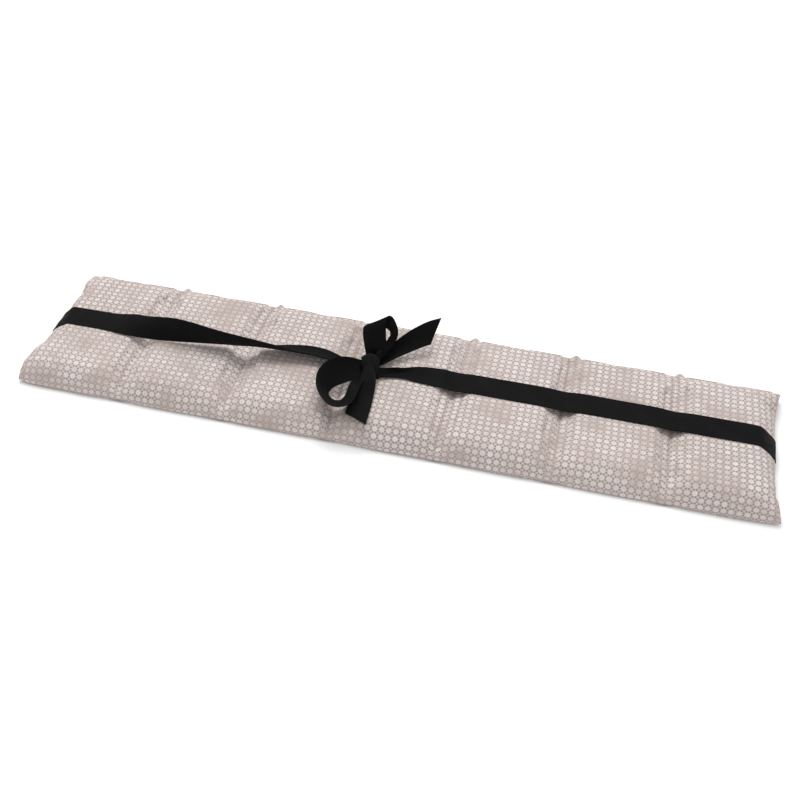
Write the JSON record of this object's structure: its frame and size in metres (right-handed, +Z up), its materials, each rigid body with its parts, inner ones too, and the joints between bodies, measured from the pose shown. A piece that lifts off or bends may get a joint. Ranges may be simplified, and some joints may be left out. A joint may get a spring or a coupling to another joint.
{
  "type": "herbal heat pack",
  "caption": "Long flat cotton heat pack with stitched, herb-filled chambers in a row, tied lengthwise with a flat dark ribbon and a bow.",
  "frame": {"origin": "centre of the underside, on the surface that the pack lies on", "axes": "+X along the row of chambers, +Y towards the sewn closing edge, +Z up"},
  "size_m": [0.6, 0.15, 0.057],
  "materials": {
    "printed_cotton": "matt printed plain-weave cotton",
    "herb_filling": "loose dried herbs and grain",
    "sewing_thread": "spun sewing thread",
    "black_ribbon": "matt woven cotton tape"
  },
  "bodies": {
    "chamber_1": {"chamber_1_upper_panel": "printed_cotton", "chamber_1_lower_panel": "printed_cotton", "chamber_1_filling": "herb_filling", "chamber_1_closing_thread": "sewing_thread", "left_end_thread": "sewing_thread", "ribbon_left_turn": "black_ribbon"},
    "chamber_2": {"chamber_2_upper_panel": "printed_cotton", "chamber_2_lower_panel": "printed_cotton", "chamber_2_filling": "herb_filling", "chamber_2_closing_thread": "sewing_thread", "cross_seam_1_2_thread": "sewing_thread", "ribbon_top_2": "black_ribbon", "ribbon_bottom_2": "black_ribbon"},
    "chamber_3": {"chamber_3_upper_panel": "printed_cotton", "chamber_3_lower_panel": "printed_cotton", "chamber_3_filling": "herb_filling", "chamber_3_closing_thread": "sewing_thread", "cross_seam_2_3_thread": "sewing_thread", "ribbon_top_3": "black_ribbon", "ribbon_bottom_3": "black_ribbon"},
    "chamber_4": {"chamber_4_upper_panel": "printed_cotton", "chamber_4_lower_panel": "printed_cotton", "chamber_4_filling": "herb_filling", "chamber_4_closing_thread": "sewing_thread", "cross_seam_3_4_thread": "sewing_thread", "cross_seam_4_5_thread": "sewing_thread", "ribbon_top_4": "black_ribbon", "ribbon_bottom_4": "black_ribbon", "bow_knot": "black_ribbon", "bow_upper_loop": "black_ribbon", "bow_lower_loop": "black_ribbon", "bow_right_tail": "black_ribbon", "bow_lower_tail": "black_ribbon"},
    "chamber_5": {"chamber_5_upper_panel": "printed_cotton", "chamber_5_lower_panel": "printed_cotton", "chamber_5_filling": "herb_filling", "chamber_5_closing_thread": "sewing_thread", "cross_seam_5_6_thread": "sewing_thread", "ribbon_top_5": "black_ribbon", "ribbon_bottom_5": "black_ribbon"},
    "chamber_6": {"chamber_6_upper_panel": "printed_cotton", "chamber_6_lower_panel": "printed_cotton", "chamber_6_filling": "herb_filling", "chamber_6_closing_thread": "sewing_thread", "cross_seam_6_7_thread": "sewing_thread", "ribbon_top_6": "black_ribbon", "ribbon_bottom_6": "black_ribbon"},
    "chamber_7": {"chamber_7_upper_panel": "printed_cotton", "chamber_7_lower_panel": "printed_cotton", "chamber_7_filling": "herb_filling", "chamber_7_closing_thread": "sewing_thread", "right_end_thread": "sewing_thread", "ribbon_right_turn": "black_ribbon"}
  },
  "joints": [
    {"name": "seam_3_4_fold", "type": "hinge", "parent": "chamber_4", "child": "chamber_3", "pos_m": [-0.04286, 0, 0.0065], "axis": [0, 1, 0], "range_deg": [-45, 45], "deforming": ["bow_lower_loop"]},
    {"name": "seam_2_3_fold", "type": "hinge", "parent": "chamber_3", "child": "chamber_2", "pos_m": [-0.12857, 0, 0.0065], "axis": [0, 1, 0], "range_deg": [-45, 45]},
    {"name": "seam_1_2_fold", "type": "hinge", "parent": "chamber_2", "child": "chamber_1", "pos_m": [-0.21429, 0, 0.0065], "axis": [0, 1, 0], "range_deg": [-45, 45]},
    {"name": "seam_4_5_fold", "type": "hinge", "parent": "chamber_4", "child": "chamber_5", "pos_m": [0.04286, 0, 0.0065], "axis": [0, -1, 0], "range_deg": [-45, 45]},
    {"name": "seam_5_6_fold", "type": "hinge", "parent": "chamber_5", "child": "chamber_6", "pos_m": [0.12857, 0, 0.0065], "axis": [0, -1, 0], "range_deg": [-45, 45]},
    {"name": "seam_6_7_fold", "type": "hinge", "parent": "chamber_6", "child": "chamber_7", "pos_m": [0.21429, 0, 0.0065], "axis": [0, -1, 0], "range_deg": [-45, 45]}
  ]
}
